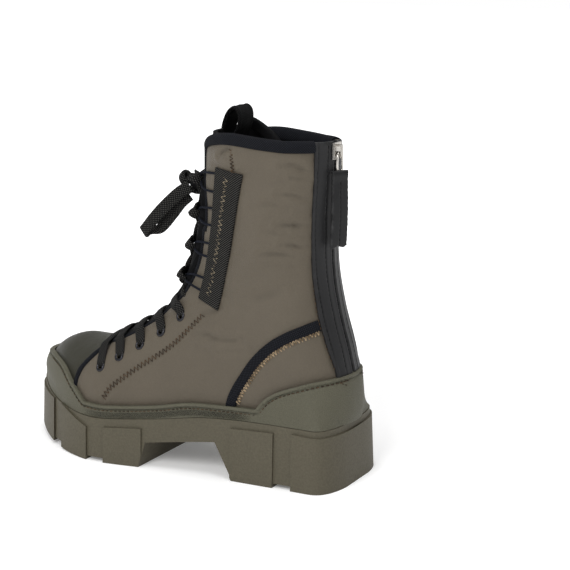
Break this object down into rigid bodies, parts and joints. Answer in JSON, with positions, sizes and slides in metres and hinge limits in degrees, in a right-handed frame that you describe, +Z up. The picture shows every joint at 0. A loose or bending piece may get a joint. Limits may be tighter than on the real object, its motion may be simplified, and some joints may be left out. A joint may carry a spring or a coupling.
{
  "type": "padded lace-up ankle boot",
  "caption": "Left padded ankle boot with a lugged rubber platform sole, rubber rand, laced front, back zip with a hinged pull and a tongue loop.",
  "frame": {"origin": "on the floor, under the middle of the heel's front lug", "axes": "+X to the toe, +Y to the outer (lateral) side of this left boot, +Z up"},
  "size_m": [0.2913, 0.1067, 0.2732],
  "materials": {
    "rubber": "matte moulded",
    "padded_nylon": "satin padded nylon",
    "lining": "matt black textile",
    "webbing": "matt woven tape",
    "coated_fabric": "semi-matt coated fabric",
    "lace": "matt braided lace",
    "dark_metal": "dark plated metal",
    "bright_metal": "bright plated metal"
  },
  "bodies": {
    "boot": {"outsole": "rubber", "upper": "padded_nylon", "insole": "lining", "tongue": "lining", "rand": "rubber", "binding_outer": "webbing", "twill_strip_outer": "webbing", "heel_band_outer": "webbing", "zip_stay_outer": "coated_fabric", "binding_inner": "webbing", "twill_strip_inner": "webbing", "heel_band_inner": "webbing", "zip_stay_inner": "coated_fabric", "zip_tape": "webbing", "zip_teeth": "dark_metal", "eyelet_outer_1": "dark_metal", "eyelet_outer_2": "dark_metal", "eyelet_outer_3": "dark_metal", "eyelet_outer_4": "dark_metal", "eyelet_outer_5": "dark_metal", "eyelet_inner_1": "dark_metal", "eyelet_inner_2": "dark_metal", "eyelet_inner_3": "dark_metal", "eyelet_inner_4": "dark_metal", "eyelet_inner_5": "dark_metal", "lace_loop_outer_1": "lace", "lace_loop_outer_2": "lace", "lace_loop_outer_3": "lace", "lace_loop_outer_4": "lace", "lace_loop_inner_1": "lace", "lace_loop_inner_2": "lace", "lace_loop_inner_3": "lace", "lace_loop_inner_4": "lace", "lace_crossings": "lace", "bow_knot": "lace", "bow_loop_outer": "lace", "bow_loop_inner": "lace", "pull_loop": "webbing", "zip_slider": "bright_metal"},
    "zip_pull": {"zip_puller": "bright_metal", "pull_tab": "coated_fabric"}
  },
  "joints": [
    {"name": "zip_pull_hinge", "type": "hinge", "parent": "boot", "child": "zip_pull", "pos_m": [-0.04932, 0, 0.24386], "axis": [0, 1, 0], "range_deg": [0, 170]}
  ]
}
